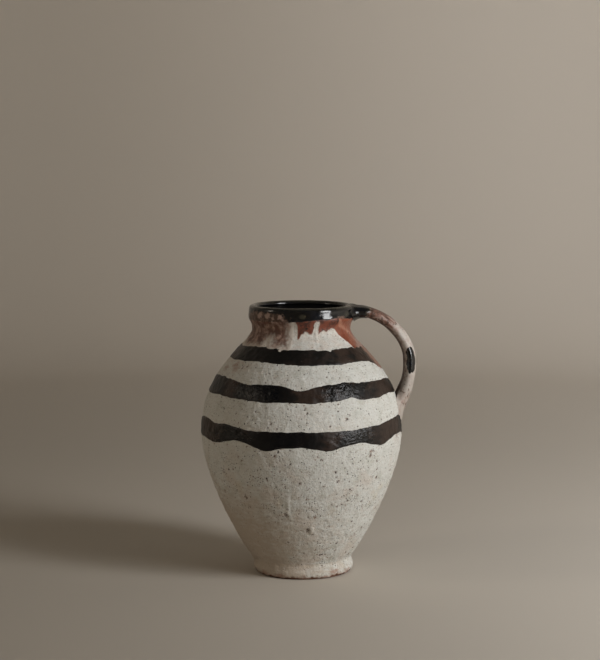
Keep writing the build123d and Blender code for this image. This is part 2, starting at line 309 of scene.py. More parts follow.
def coatGrid(coat, low, high, gathered=0):
    # Grid of a coat that goes up its face and down its back between two lengths along the outline: turns,
    # lengths, the share of the way across, which rows are its face, and the places on the bare outline. The
    # few rows of the back gather at its top (1), its bottom (-1) or nowhere (0)
    back = np.linspace(1, 0, coat["backRows"] + 2)[1:-1]
    back = {1: 1 - (1 - back) ** 2, -1: back ** 2, 0: back}[gathered]
    across = np.r_[np.linspace(0, 1, coat["rows"]), back]
    turn = turns(coat["columns"])[:, None] + 0 * across
    low, high = np.reshape(low, (-1, 1)), np.reshape(high, (-1, 1))
    along = low + (high - low) * across + 0 * turn
    face = np.arange(len(across)) < coat["rows"]
    return turn, along, across + 0 * along, face, turned(outside, turn, along)


def both(operation):
    # An operator on a value, and its reflected form
    return (lambda value, other: value.maths(operation, value, other),
            lambda value, other: value.maths(operation, other, value))


class Value:
    # A shader socket that takes part in Python arithmetic: each operation adds a Math node
    def __init__(self, finish, socket):
        self.finish = finish
        self.socket = socket

    def maths(self, operation, first, second):
        return self.finish.node("ShaderNodeMath", {"operation": operation}, {0: first, 1: second})

    __add__, __radd__ = both("ADD")
    __sub__, __rsub__ = both("SUBTRACT")
    __mul__, __rmul__ = both("MULTIPLY")

    def orMore(self, other):
        return self.maths("MAXIMUM", self, other)


class Finish:
    # One material: its node tree, its shader, its paints by name, the colour so far, the places that its
    # textures read, in millimetres, and short ways to those textures
    def __init__(self, name, paints, base, constants, attribute=None):
        self.material = bpy.data.materials.new(name)
        self.material.use_nodes = True
        self.tree = self.material.node_tree
        self.shader = self.tree.nodes["Principled BSDF"]
        for socket, value in constants.items():
            self.shader.inputs[socket].default_value = value
        self.paints = paints
        self.colour = self.paint(base)
        self.here = self.field(attribute, "Vector") if attribute else self.place()

    def paint(self, colour):
        # A paint by its name, or a colour that is a value already
        return (*self.paints[colour], 1.0) if colour in self.paints else colour

    def feed(self, socket, value):
        if isinstance(value, Value):
            self.tree.links.new(value.socket, socket)
        else:
            socket.default_value = value

    def node(self, kind, settings=None, inputs=None, output=0):
        made = self.tree.nodes.new(kind)
        for key, value in (settings or {}).items():
            setattr(made, key, value)
        for key, value in (inputs or {}).items():
            self.feed(made.inputs[key], value)
        return Value(self, made.outputs[output])

    def place(self):
        here = self.node("ShaderNodeTexCoord", output="Object")
        return self.node("ShaderNodeVectorMath", {"operation": "SCALE"}, {0: here, "Scale": 1 / mm})

    def level(self, axis="Z"):
        return self.node("ShaderNodeSeparateXYZ", inputs={0: self.here}, output=axis)

    def field(self, name, output="Fac"):
        return self.node("ShaderNodeAttribute", {"attribute_name": name}, output=output)

    def sized(self, size, shift):
        width = np.broadcast_to(np.asarray(size, float), 3)
        return self.node("ShaderNodeVectorMath", {"operation": "MULTIPLY_ADD"},
                         {0: self.here, 1: tuple(1 / width), 2: (shift, shift, shift)})

    def noise(self, size, detail, shift):
        return self.node("ShaderNodeTexNoise", inputs={
            "Vector": self.sized(size, shift), "Scale": 1.0, "Detail": detail, "Roughness": 0.55})

    def step(self, value, low, high, share=1.0):
        # Smooth step from 0 at the low value to a share at the high one, which may be the smaller
        return self.node("ShaderNodeMapRange", {"interpolation_type": "SMOOTHSTEP"},
                         {"Value": value, "From Min": low, "From Max": high, "To Max": share})

    def specks(self, cell, size, share, shift):
        # Dots: a share of the cells of a Voronoi pattern holds one, of a size in millimetres
        settings = {"feature": "F1", "distance": "EUCLIDEAN"}
        inputs = {"Vector": self.sized(cell, shift), "Scale": 1.0}
        distance = self.node("ShaderNodeTexVoronoi", settings, inputs, "Distance")
        chance = self.node("ShaderNodeTexVoronoi", settings, inputs, "Color")
        chance = self.node("ShaderNodeSeparateColor", inputs={0: chance}, output="Red")
        return self.step(distance, size / cell, 0.5 * size / cell) * self.step(chance + share, 0.98, 1.0)

    def mix(self, amount, first, second, blend="MIX"):
        return self.node("ShaderNodeMix", {"data_type": "RGBA", "blend_type": blend},
                         {0: amount, 6: self.paint(first), 7: self.paint(second)}, 2)

    def cover(self, tint, amount):
        self.colour = self.mix(amount, self.colour, tint)

    def lay(self, tint, value, low, high, share=1.0):
        # Covers the colour so far with a share of a tint, as a value goes from low to high
        self.cover(tint, self.step(value, low, high, share))

    def done(self, roughness, relief=None):
        # The relief is in millimetres
        self.feed(self.shader.inputs["Base Color"], self.colour)
        self.feed(self.shader.inputs["Roughness"], roughness)
        if relief is not None:
            bump = self.node("ShaderNodeBump", inputs={"Height": relief, "Distance": mm, "Strength": 1.0})
            self.feed(self.shader.inputs["Normal"], bump)
        return self.material


# Chalky white slip: pale with pink, grey and straw-coloured stains, brush lines, grit and dark specks, with
# warm painted shade low down
slipPaint = dict(
    chalk=(0.61, 0.61, 0.57), pink=(0.55, 0.475, 0.41), grey=(0.465, 0.465, 0.41),
    straw=(0.56, 0.505, 0.39), dirt=(0.33, 0.26, 0.20), speck=(0.030, 0.022, 0.017),
    rust=(0.20, 0.105, 0.065), smear=(0.30, 0.165, 0.118), shadeAndSoil=(0.43, 0.358, 0.285),
)


def chalkSlip():
    f = Finish("chalkSlip", slipPaint, "chalk", {"IOR": 1.38})
    brush = f.noise((34, 34, 1.7), 3, 7.0)
    grit = f.noise(1.5, 3, 3.0)
    patches = f.noise(13, 3, 1.0)
    low = f.step(f.level(), 170, 110)
    f.lay("pink", f.noise(30, 3, 2.0), 0.48, 0.68, 0.2 + 0.4 * low)
    f.lay("grey", patches, 0.52, 0.70, 0.62)
    f.lay("straw", f.noise(21, 3, 5.0), 0.58, 0.74, 0.5 * low)
    f.lay("grey", brush, 0.58, 0.36, 0.25)
    f.lay("dirt", grit, 0.50, 0.28, 0.55)
    crowd = f.step(f.noise(19, 3, 9.0), 0.42, 0.62, 0.35 + 0.65 * low)
    dust = f.specks(1.8, 0.64, 0.36 * crowd + 0.06, 11.0) * 0.9
    fine = f.specks(2.9, 0.96, 0.36 * crowd + 0.07, 17.0)
    mark, ragged = f.field("mark"), f.noise(1.6, 3, 13.0) - 0.5
    dark = dust.orMore(fine).orMore(f.step(mark + ragged * 5.0, 0.45, 0.75))
    f.lay("rust", mark + ragged * 3.0, -0.4, 0.6, 0.4)
    tint = f.mix(f.step(f.noise(6, 1, 21.0), 0.55, 0.66), "speck", "rust")
    f.cover(tint, dark * 0.9)
    cloth = (f.noise((9, 9, 3.5), 4, 4.0) - 0.5) * 1.8
    # Painted shade: warmer and darker low on the body's left side; on the foot it is painted shade with some
    # soiling
    f.lay("shadeAndSoil", f.field("shadeAndSoil") + cloth * 0.8, 0.0, 1.0, 0.9)
    f.lay("pink", f.field("stain") + cloth, 0.15, 0.85, 0.55)
    f.lay("smear", f.field("smear") + cloth, 0.0, 1.1, 0.68)
    relief = grit * 0.36 + f.noise(3.3, 2, 6.0) * 0.74 + brush * 0.14 - dark * 0.25
    return f.done(0.82 - 0.12 * patches, relief)


# Dark brushed band glaze: black-brown, chocolate where thin, blue-black where thick, crinkled and satin
bandPaint = dict(
    black=(0.0040, 0.0034, 0.0029), brown=(0.020, 0.013, 0.010), blue=(0.0016, 0.0020, 0.0034),
    chocolate=(0.031, 0.019, 0.0135), rust=(0.23, 0.128, 0.092), chalk=(0.42, 0.39, 0.34),
)


def bandGlaze():
    f = Finish("bandGlaze", bandPaint, "black", {"IOR": 1.5, "Specular IOR Level": 0.28})
    crinkle = f.noise((2.4, 2.4, 2.0), 3, 5.0)
    mottle = f.noise((12, 12, 6), 4, 8.0) - 0.5
    thin, blue = f.field("thin"), f.field("blue")
    f.lay("brown", f.noise(15, 3, 2.0) + thin * 0.35, 0.46, 0.78)
    f.lay("chocolate", f.field("brown") + mottle * 2.0, 0.2, 1.0)
    f.cover("blue", blue)
    f.lay("rust", f.field("rust") + mottle * 0.8, 0.25, 0.8)
    f.cover("chalk", f.specks(4.0, 0.42, 0.06, 4.0) * 0.75)
    gloss = f.step(f.field("gloss") + mottle * 1.8, 0.2, 0.9)
    relief = crinkle * (0.18 + 0.58 * gloss) + f.noise(1.1, 2, 1.0) * 0.04
    return f.done(0.44 - 0.22 * gloss.orMore(blue) + 0.10 * thin, relief)


# Iron wash on the neck: mottled mauve and brown, deep rust, and glossy orange where it ran, with a painted
# peach highlight along the orange
washPaint = dict(
    mauve=(0.225, 0.138, 0.105), plum=(0.105, 0.050, 0.034), rust=(0.185, 0.050, 0.026),
    umber=(0.135, 0.052, 0.032), dark=(0.062, 0.022, 0.014), orange=(0.225, 0.070, 0.037),
    peachHighlight=(0.37, 0.175, 0.115), pale=(0.40, 0.28, 0.225), chalk=(0.58, 0.53, 0.465),
    dull=(0.25, 0.145, 0.112), black=(0.008, 0.006, 0.005),
)


def ironWash():
    f = Finish("ironWash", washPaint, "plum", {"IOR": 1.5})
    cloud = f.noise(10, 3, 1.0)
    blot = f.noise((6.0, 6.0, 7.5), 4, 6.0)
    streak = f.noise((2.2, 2.2, 16), 3, 9.0)
    fine = f.noise(1.2, 2, 3.0)
    fleck, warm = fine - 0.5, f.field("warm")
    f.lay("mauve", blot, 0.43, 0.57)
    f.lay("pale", blot + fleck * 0.3, 0.54, 0.68, 0.85)
    f.lay("umber", cloud + fleck * 0.4, 0.48, 0.34, 0.35 + f.step(f.level(), 262, 282, 0.5))
    rust = f.mix(f.step(blot + fleck * 0.9, 0.40, 0.60), "dark", "rust")
    f.lay(rust, warm, 0.2, 0.6)
    orange = f.mix(f.step(cloud, 0.34, 0.58), "rust", "orange")
    # Painted highlight: a peach streak along the orange run, following the streak line
    orange = f.mix(f.step(f.field("streak") + (blot - 0.5) * 2.2, 0.1, 1.0, 0.8), orange, "peachHighlight")
    f.lay(orange, warm, 1.3, 1.7)
    f.lay("dull", warm, 2.2, 2.8)
    depth = f.field("depth") + (blot - 0.5) * 0.9 + (streak - 0.5) * 0.9
    f.lay("chalk", depth, 0.9, 0.0, 0.92)
    f.lay("black", f.field("dot") + fleck * 0.8, 0.1, 0.4)
    roughness = 0.52 - f.step(warm, 0.2, 0.6, 0.14) - f.step(warm, 1.3, 1.7, 0.14) + 0.10 * fine
    return f.done(roughness, fine * 0.10 + blot * 0.20)


# Glossy dark glaze of the rim, the inside and the handle's root: black, olive where thin, brown where worn
glazePaint = dict(
    black=(0.0036, 0.0035, 0.0035), olive=(0.030, 0.028, 0.019), brown=(0.062, 0.031, 0.019),
    mauve=(0.175, 0.108, 0.082), spot=(0.36, 0.255, 0.21), blue=(0.0024, 0.0038, 0.0078),
)


def darkGlaze():
    f = Finish("darkGlaze", glazePaint, "black", {"IOR": 1.5})
    mottle = f.noise(3.4, 3, 8.0)
    blotch, worn = mottle - 0.5, f.field("worn")
    f.lay("blue", f.noise(12, 3, 3.0), 0.42, 0.66, 0.8)
    f.lay("olive", f.field("thin") + blotch * 0.8, 0.25, 0.6, 0.85)
    brown = f.mix(f.step(mottle, 0.46, 0.66), "brown", "mauve")
    f.lay(brown, worn + blotch * 0.9, 0.3, 0.8)
    f.lay("spot", f.field("spots") + blotch * 2.6, -0.15, 0.65, 0.9)
    relief = f.noise(7.0, 3, 5.0) * 0.32 + mottle * 0.07
    return f.done(0.13 + f.step(mottle, 0.4, 0.7, 0.08) + 0.24 * worn, relief)


# Slip on the handle: pinkish white with rust streaks drawn along the strap, with painted shade in dark brown
# along its inner side and in grey toward its lower end
strapPaint = dict(
    chalk=(0.49, 0.45, 0.405), pink=(0.36, 0.265, 0.225), rust=(0.185, 0.085, 0.058),
    brown=(0.085, 0.048, 0.035), speck=(0.04, 0.026, 0.020), grey=(0.33, 0.29, 0.25),
)


def strapSlip():
    f = Finish("strapSlip", strapPaint, "chalk", {"IOR": 1.42}, "strap")
    streak = f.noise((17, 2.8, 2.8), 4, 2.0)
    mottle = f.noise((5, 3.4, 3.4), 3, 5.0)
    blotch = f.noise((4.5, 2.6, 2.6), 3, 14.0)
    grit = f.noise(1.0, 2, 3.0)
    rusty = f.field("rust")
    f.lay("pink", mottle + rusty * 0.45, 0.46, 0.74)
    # Painted shade: the lower end of the strap greyed
    f.cover("grey", f.field("paintedLowShade") * 0.55)
    f.lay("rust", streak + rusty * 0.34, 0.64, 0.76, 0.9)
    f.lay("brown", blotch + rusty * 0.18, 0.62, 0.68, 0.9)
    # Painted shade: dark brown along the inner side of the strap, broken up by the mottle and streaks
    paintedInnerShade = f.field("paintedInnerShade") + (mottle - 0.5) * 0.9 + (streak - 0.5) * 0.6
    f.lay("brown", paintedInnerShade, 0.35, 0.85, 0.9)
    f.lay("pink", grit, 0.46, 0.30, 0.4)
    dots = f.specks(3.4, 0.7, 0.10 + 0.12 * rusty, 9.0)
    f.cover("speck", dots * 0.8)
    relief = grit * 0.10 + streak * 0.24 + mottle * 0.16 - dots * 0.15
    return f.done(0.60 - f.step(mottle, 0.4, 0.65, 0.20), relief)


# Bare fired clay
clayPaint = dict(clay=(0.215, 0.105, 0.066), dark=(0.10, 0.047, 0.030), pale=(0.36, 0.22, 0.155))


def bareClay():
    f = Finish("bareClay", clayPaint, "dark", {"IOR": 1.4})
    grit = f.noise(1.3, 3, 1.0)
    cloud = f.noise(12, 3, 4.0)
    f.lay("clay", cloud, 0.38, 0.66)
    f.lay("pale", grit, 0.56, 0.74, 0.6)
    return f.done(0.86 - 0.1 * cloud, grit * 0.30)


chalk, bands, wash, glaze, strapChalk, clay = (
    chalkSlip(), bandGlaze(), ironWash(), darkGlaze(), strapSlip(), bareClay())
bareNodes = ("lower_body", "shoulder", "neck", "rim_collar", "handle", "upper_handle_coil",
             "lower_handle_coil")
for node in bareNodes:
    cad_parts[node].data.materials.clear()
    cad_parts[node].data.materials.append(clay)
print("finishes made")


# Slip over the body: marks as (angle, height, radius, depth), in degrees from the front toward the handle and
# millimetres, nodules as (angle, height, half width, half height, rise), and smears as ovals
slip = dict(
    columns=656, lowerRows=128, upperRows=124, backRows=24, seamHeight=166.0, topHeight=288.0, back=0.62,
    throwing=0.13, swell=0.27, knobs=0.31, brushing=0.05, grit=0.06,
    scattered=560, seed=11, lowestMark=22, markSpan=225, markCrowding=1.35, markSizes=(0.45, 1.1),
    markDepth=0.3,
    marks=[
        (42.1, 148.1, 1.7, 0.5), (41.9, 143.6, 1.6, 0.5), (19.7, 129.2, 1.4, 0.4), (21.8, 118.1, 1.6, 0.5),
        (20.4, 123.5, 1.0, 0.3), (26.2, 185.7, 1.4, 0.4), (2.4, 197.9, 1.2, 0.3), (3.2, 193.4, 1.1, 0.3),
        (1.5, 190.4, 0.9, 0.2), (-17.5, 182.0, 1.4, 0.4), (-23.1, 232.3, 1.0, 0.2), (-25.6, 231.6, 0.9, 0.2),
        (-24.6, 223.4, 0.9, 0.2), (7.0, 221.4, 0.9, 0.2), (-14.7, 146.9, 1.4, 0.3), (-13.0, 151.9, 1.1, 0.2),
        (-47.1, 127.1, 1.3, 0.3), (-58.0, 99.6, 1.5, 0.3), (-37.6, 97.3, 1.7, 0.3), (-35.5, 139.8, 1.1, 0.2),
        (-1.0, 117.9, 1.7, 0.3), (-6.2, 139.0, 1.1, 0.2), (37.3, 99.9, 1.3, 0.3), (50.8, 116.9, 1.5, 0.3),
        (19.6, 90.9, 1.1, 0.3), (24.0, 88.6, 1.2, 0.3), (20.9, 65.1, 1.2, 0.4), (55.8, 56.9, 1.4, 0.3),
        (-10.7, 79.5, 2.3, 0.5), (-9.3, 78.2, 1.2, 0.3), (9.5, 76.9, 2.0, 0.4), (-19.4, 70.7, 1.3, 0.3),
        (-37.2, 54.2, 1.3, 0.3), (-33.0, 55.0, 1.0, 0.3), (1.9, 32.1, 1.5, 0.3), (18.0, 29.3, 1.4, 0.3),
        (33.6, 32.9, 1.1, 0.3), (15.8, 179.1, 1.0, 0.2), (-29.7, 119.3, 1.1, 0.2), (48.1, 136.0, 1.2, 0.3),
        (30.8, 94.4, 1.0, 0.2), (51.7, 181.0, 1.0, 0.2), (4.2, 62.0, 2.0, 0.45),
    ],
    nodules=[(7.6, 62.3, 2.7, 5.2, 1.8), (16.4, 267, 1.5, 10, 0.5), (-8.6, 92, 2.2, 12, 0.5)],
    smears=[(-58, 236, 17, 7), (-72, 232, 12, 5), (84, 232, 14, 8)],
    # shadeAndSoil and its heights set the painted shade low on the body
    stain=0.5, neckStain=(236, 262), sideStain=(215, 235), shadeAndSoil=1.2, shadeAndSoilHeights=(140, 40), deepestPit=0.55,
)


def slipRelief(place):
    # Unevenness of the slip, which the coats on it follow: throwing lines, swells, knobs and brush lines
    s = slip
    return (s["throwing"] * lumps(place, (90, 90, 6.5), 1) + s["swell"] * lumps(place, 27, 2)
            + s["knobs"] * grain(place, 6.0, 2, 4) + s["brushing"] * grain(place, (12, 12, 2.4), 2, 3))


def markedSlip(turn, along):
    # Lift of the slip: its unevenness and grit, a bell for each nodule, less a bell for each pit, and the
    # darkness of the marks, which falls off in a cone round each
    s = slip
    place = turned(outside, turn, along)
    lift = slipRelief(place) + s["grit"] * lumps(place, 1.9, 6)
    rng = np.random.default_rng(s["seed"])
    angle = rng.uniform(-180, 180, s["scattered"])
    height = s["lowestMark"] + s["markSpan"] * rng.random(s["scattered"]) ** s["markCrowding"]
    size = rng.uniform(*s["markSizes"], s["scattered"])
    scattered = np.stack([angle, height, size, s["markDepth"] * size], -1)
    radius = outside.at(along)[0]
    mark = np.full_like(along, -1.0)
    for angle, height, size, depth in [*s["marks"], *scattered]:
        gap = radius * np.radians(degreesFrom(turn, angle))
        away = np.hypot(gap, along - outside.alongAt(height)) / size
        lift = lift - depth * bell(away, 1)
        mark = np.maximum(mark, 1.15 - 0.8 * away)
    for angle, height, width, tall, rise in s["nodules"]:
        gap = radius * np.radians(degreesFrom(turn, angle))
        lift = lift + rise * bell(gap, width) * bell(along - outside.alongAt(height), tall)
    return lift, mark


def slipCoat(name, lowest, highest, rows, gathered):
    # Coat between two heights: the outline pushed out by the slip's lift, and drawn in a little at its back
    s = dict(slip, rows=rows)
    low, high = outside.alongAt(lowest), outside.alongAt(highest)
    turn, along, _, face, place = coatGrid(s, low, high, gathered)
    lift, mark = markedSlip(turn, along)
    height = place[..., 2]
    stain = smooth(*s["neckStain"], height) + smooth(-0.2, -1.3, turn) * smooth(*s["sideStain"], height)
    smear = ovals(turn, height, s["smears"], outside.at(along)[0]) - 0.1
    # Painted shade, darkest low on the left side of the body
    shadeAndSoil = s["shadeAndSoil"] * smooth(*s["shadeAndSoilHeights"], height) * (0.52 - 0.48 * np.sin(turn + 0.2))
    lift = np.where(face, np.maximum(lift, -s["deepestPit"]), -s["back"])
    addPiece(name, turned(outside, turn, along, lift), chalk, ["body_slip"],
             dict(mark=mark, stain=s["stain"] * stain, smear=smear, shadeAndSoil=shadeAndSoil))


slipCoat("slip_lower_body", jar["waistHeight"] - 0.8, slip["seamHeight"] + 1.0, slip["lowerRows"], -1)
slipCoat("slip_shoulder_and_neck", slip["seamHeight"], slip["topHeight"], slip["upperRows"], 1)

# The three brushed bands: edges as (base height, bumps), with the (angle, spread) of other tints
neckHeight, bellyHeight = jar["neckHeight"], jar["bellyHeight"]
bandShape = dict(
    columns=900, rows=26, backRows=3, thickness=0.42, sunk=0.6, roundness=2.6, tremble=0.65, lump=0.14,
    crinkle=0.12, bead=0.16,
)
bandEdges = {
    "upper_band": dict(
        top=(neckHeight - 17.0, [
            (-48, 14, 2.2), (-24, 9, 1.7), (25, 5, -1.1), (27.4, 1.3, -1.5), (150, 30, 2.0),
            (-130, 25, -1.5)]),
        bottom=(neckHeight - 33.0, [(-45, 25, 1.5), (20, 15, -0.6), (88, 14, -13.0), (170, 25, 1.8)]),
        rust=[(88, 14)], brown=[(40, 12), (64, 18), (-75, 12)], blue=[], gloss=[(150, 30), (-140, 30)]),
    "middle_band": dict(
        top=(neckHeight - 52.2, [
            (-68, 18, 3.6), (-38, 10, -0.8), (-1, 7.5, -5.6), (30, 10, 1.6), (92, 12, -4.0), (150, 20, 2.0),
            (-135, 25, -2.5)]),
        bottom=(neckHeight - 70.3, [
            (-62, 12, 1.4), (-24, 7, -1.3), (2, 8, -1.1), (31, 6, 3.2), (68, 10, 2.0), (120, 20, -2.0),
            (-150, 25, 2.0)]),
        rust=[], brown=[(64, 17), (5, 12), (-52, 8)], blue=[(-19, 9)],
        gloss=[(28, 19), (-37, 16), (140, 30), (-140, 30)]),
    "lower_band": dict(
        top=(bellyHeight + 15.7, [
            (-72, 14, 6.0), (-47, 9, 3.4), (75, 28, 7.0), (160, 30, -2.0), (-140, 20, 3.0)]),
        bottom=(bellyHeight - 2.8, [
            (-58, 6, -1.5), (-38, 8.5, 5.6), (-20, 6.5, -3.6), (1, 6, 1.3), (14, 7, -2.9), (32, 8, 3.4),
            (51, 7, -2.4), (72, 12, 5.0), (105, 12, -3.0), (135, 14, 3.0), (165, 12, -3.0), (-165, 14, 3.5),
            (-135, 12, -2.5), (-105, 14, 3.0)]),
        rust=[], brown=[(60, 18), (16, 6), (-66, 14)], blue=[(-8, 17)],
        gloss=[(34, 17), (-44, 17), (140, 30), (-140, 30)]),
}


def nearAngles(turn, spots):
    # The highest of the bells round some angles
    height = 0 * turn
    for angle, spread in spots:
        height = np.maximum(height, bell(degreesFrom(turn, angle), spread))
    return height


def brushedBand(name, edges, seed):
    # A ribbon of glaze: its face swells from sunk edges to its thickness, with a bead along the lower edge
    b = bandShape
    turn = turns(b["columns"])
    low = outside.alongAt(brushedEdge(turn, *edges["bottom"], b["tremble"], seed))
    high = outside.alongAt(brushedEdge(turn, *edges["top"], b["tremble"], seed + 5))
    turn, along, across, face, place = coatGrid(b, low, high)
    swell = (1 - np.abs(2 * across - 1) ** (2 * b["roundness"])) ** (1 / b["roundness"])
    lift = (b["thickness"] + b["sunk"]) * swell - b["sunk"]
    rust, brown, blue, gloss = (nearAngles(turn, edges[tint]) for tint in ("rust", "brown", "blue", "gloss"))
    crinkle = b["crinkle"] * (0.3 + 0.9 * gloss)
    bumps = b["lump"] * grain(place, 8, 2, seed + 9) + crinkle * grain(place, 2.6, 2, seed + 3)
    lift = lift + swell * (bumps + b["bead"] * bell(across - 0.10, 0.07))
    lift = np.where(face, lift + slipRelief(place), -b["sunk"])
    fields = dict(thin=1 - swell, rust=rust, brown=brown, blue=blue * swell, gloss=gloss * swell)
    addPiece(name + "_glaze", turned(outside, turn, along, lift), bands, [name], fields)


for seed, (name, edges) in enumerate(bandEdges.items()):
    brushedBand(name, edges, 40 + 20 * seed)

# Dark glaze over the collar and the lip, with its worn places and pale spots as ovals
rimGlaze = dict(
    columns=720, rows=64, backRows=12, thickness=0.30, sunk=0.6, tremble=0.7, bead=0.2, lump=0.12,
    reliefEnd=(292, 287.5), lipThin=0.75, lipHeights=(297.5, 299.5), edgeThin=0.8,
    edge=[
        (-175, 283), (-150, 285), (-125, 282), (-100, 284), (-80, 283), (-60, 284), (-40, 284), (-25, 284.5),
        (-18, 285), (-7, 285), (4, 285.5), (14, 286.3), (22, 287.2), (34, 287.5), (41, 288), (50, 286.6),
        (60, 286.3), (75, 285), (95, 284), (120, 283), (140, 285.5), (160, 284),
    ],
    worn=[(-52, 288.0, 34, 7.0), (-34, 288.5, 17, 6.0), (47, 287.5, 7, 3.4), (140, 288, 24, 5.5)],
    thin=[(1, 291.8, 4.6, 3.2), (58, 292, 6, 3), (-160, 291, 8, 4)],
    spots=[(-51, 291.0, 4.8, 4.6), (-40.5, 291.6, 4.6, 3.2), (-23, 291.0, 4.6, 4.2), (-32, 288.8, 2.4, 1.8),
           (118, 290.5, 4.0, 3.0), (-150, 291, 5.0, 3.2)],
)

# Iron wash on the neck. Its ragged lower edge is drawn as (angle, height)
neckWash = dict(
    columns=760, rows=66, backRows=16, thickness=0.26, sunk=0.6, lowest=252.0, highest=292.0, tremble=0.8,
    radius=57.0, feather=1.2, mauveFeather=8.0, paleFeather=4.0, rustFeather=0.9, highlightWidth=4.2,
    lump=0.10, tuck=(2.4, 0.9), runTremble=2.5,
    runEdge=[(252, 62), (255, 61), (263, 55), (268, 48), (276, 41), (286, 43), (289, 43)],
    dullEdge=[(252, 66), (258, 69), (263, 77), (272, 92), (289, 120)],
    # The streak is the line of the painted highlight on the orange run
    streak=[(44, 286), (51, 279.4), (60, 276), (73, 270), (75, 262)], dot=[(5.6, 278.6, 1.7, 1.5)],
    edge=[
        (-178, 268), (-164, 262), (-150, 271), (-138, 259), (-120, 269), (-104, 259), (-92, 265), (-80, 256),
        (-66, 253.5), (-54, 256), (-42, 254), (-39.6, 264), (-37.6, 265), (-35.5, 255), (-26, 253.5),
        (-12, 254.5), (-9.6, 260), (-8.6, 283), (-5.4, 283), (-4.6, 264.5), (-3, 266), (0, 270), (5, 274),
        (9, 271.5), (12, 271), (14, 275), (14.8, 284.5), (18.6, 284.5), (19.2, 272), (21, 272.5),
        (26, 275.5), (30, 274), (36, 277.5), (40.5, 277), (44, 273), (51, 266), (57, 258.5), (60, 254.5),
        (66, 254), (78, 253.5), (92, 254), (104, 262), (116, 258), (126, 270), (140, 264), (152, 274),
        (166, 266),
    ],
)


def ironWashCoat():
    # Thin coat that stands proud above its ragged edge and sinks into the slip below it. Depth counts from
    # the edge, in feather widths; warm goes from 0 mauve over 1 rust to 2 orange and 3 dull brown
    w = neckWash
    low, high = outside.alongAt(w["lowest"]), outside.alongAt(w["highest"])
    turn, along, _, face, place = coatGrid(w, low, high)
    degrees, height = np.degrees(turn), place[..., 2]
    depth = edgeDistance(turn, height, w["edge"], w["radius"]) + w["tremble"] * grain(place, 3.4, 3, 120)
    proud = w["thickness"] + w["lump"] * lumps(place, 5, 124) + w["sunk"]
    under = smooth(*w["tuck"], height - edgeThrough(turn, rimGlaze["edge"]))    # sinks under the rim's glaze
    lift = np.where(face, proud * smooth(-1.0, 0.6, depth) * under + slipRelief(place), 0) - w["sunk"]
    feather = w["feather"] + w["mauveFeather"] * smooth(-4, -10, degrees)
    feather = feather + w["paleFeather"] * bell(degrees + 22, 11)
    feather = feather + w["rustFeather"] * smooth(-6, 0, degrees) * smooth(42, 36, degrees)
    past = degrees + w["runTremble"] * grain(place, 5, 2, 128)
    run = smooth(-2, 2, past - np.interp(height, *np.transpose(w["runEdge"])))
    dull = smooth(-4, 4, past - np.interp(height, *np.transpose(w["dullEdge"])))
    warm = smooth(-13, -5, degrees) * smooth(175, 150, degrees) * (1 + run + dull)
    # Painted highlight: nearness to the streak line, across its width
    streak = 1 - lineDistance(turn, height, w["streak"], w["radius"]) / w["highlightWidth"]
    dot = ovals(turn, height, w["dot"], w["radius"])
    addPiece("neck_iron_wash", turned(outside, turn, along, lift), wash, ["neck_wash"],
             dict(depth=depth / feather, warm=warm, streak=streak, dot=dot))


ironWashCoat()


def rimGlazeCoat():
    # Coat from its wavy lower edge, which ends in a bead where it isn't worn, over the lip to the mouth
    g = rimGlaze
    turn = turns(g["columns"])
    tremble = g["tremble"] * grain(carried(turn, jar["collarRadius"]), 7, 3, 140)
    low = outside.alongAt(edgeThrough(turn, g["edge"]) + tremble)
    turn, along, across, face, place = coatGrid(g, low, outside.along[-1])
    height, rise = place[..., 2], along - low[:, None]
    worn = np.clip(ovals(turn, height, g["worn"], jar["collarRadius"]) + 0.55, 0, 1)
    begun = smooth(-0.2, 1.4, rise)
    lift = (g["thickness"] * (1 - 0.6 * worn) + g["sunk"]) * begun - g["sunk"]
    lift = lift + slipRelief(place) * smooth(*g["reliefEnd"], height)
    swell = g["bead"] * bell(rise - 1.9, 1.2) + g["lump"] * grain(place, 9, 2, 150)
    lift = lift + (1 - worn) * swell * begun
    lift = np.where(face, lift * np.minimum(1, (1 - across) * 20 + 0.001), -g["sunk"])
    thin = np.maximum(g["lipThin"] * smooth(*g["lipHeights"], height), g["edgeThin"] * smooth(1.6, 0.2, rise))
    thin = np.maximum(thin, smooth(-0.1, 0.6, ovals(turn, height, g["thin"], jar["collarRadius"])))
    spots = ovals(turn, height, g["spots"], jar["collarRadius"])
    addPiece("rim_dark_glaze", turned(outside, turn, along, lift), glaze, ["rim_glaze"],
             dict(thin=thin, worn=worn, spots=spots))


rimGlazeCoat()

# Dark glaze inside, over the throwing rings
liner = dict(columns=360, rows=170, backRows=40, rings=0.35, swell=0.25, back=0.6, thin=0.1)


def plainGlaze(along, thin, worn=0.0):
    # Fields of the dark glaze where it has no pale spots
    return dict(thin=thin + 0 * along, worn=worn + 0 * along, spots=0 * along - 1)


def linerCoat():
    # Skin from the middle of the floor's underside up its back to the mouth, and down its face to the floor
    c = liner
    turn = turns(c["columns"])[:, None]
    face = np.linspace(0, inside.along[-1], c["rows"])
    back = np.linspace(inside.along[-1], 0, c["backRows"])[:-1]
    along = np.r_[back, face] + 0 * turn
    turn = turn + 0 * along
    onFace = np.arange(along.shape[1]) >= len(back)
    place = turned(inside, turn, along)
    rings = c["rings"] * lumps(place, (80, 80, 5.5), 160) + c["swell"] * lumps(place, 24, 161)
    rings = rings * smooth(0, 8, along) * smooth(0, 60, inside.along[-1] - along)
    points = turned(inside, turn, along, np.where(onFace, rings, -c["back"]))
    addPiece("inside_dark_glaze", points, glaze, ["liner_glaze"], plainGlaze(along, c["thin"]),
             (True, False))


linerCoat()

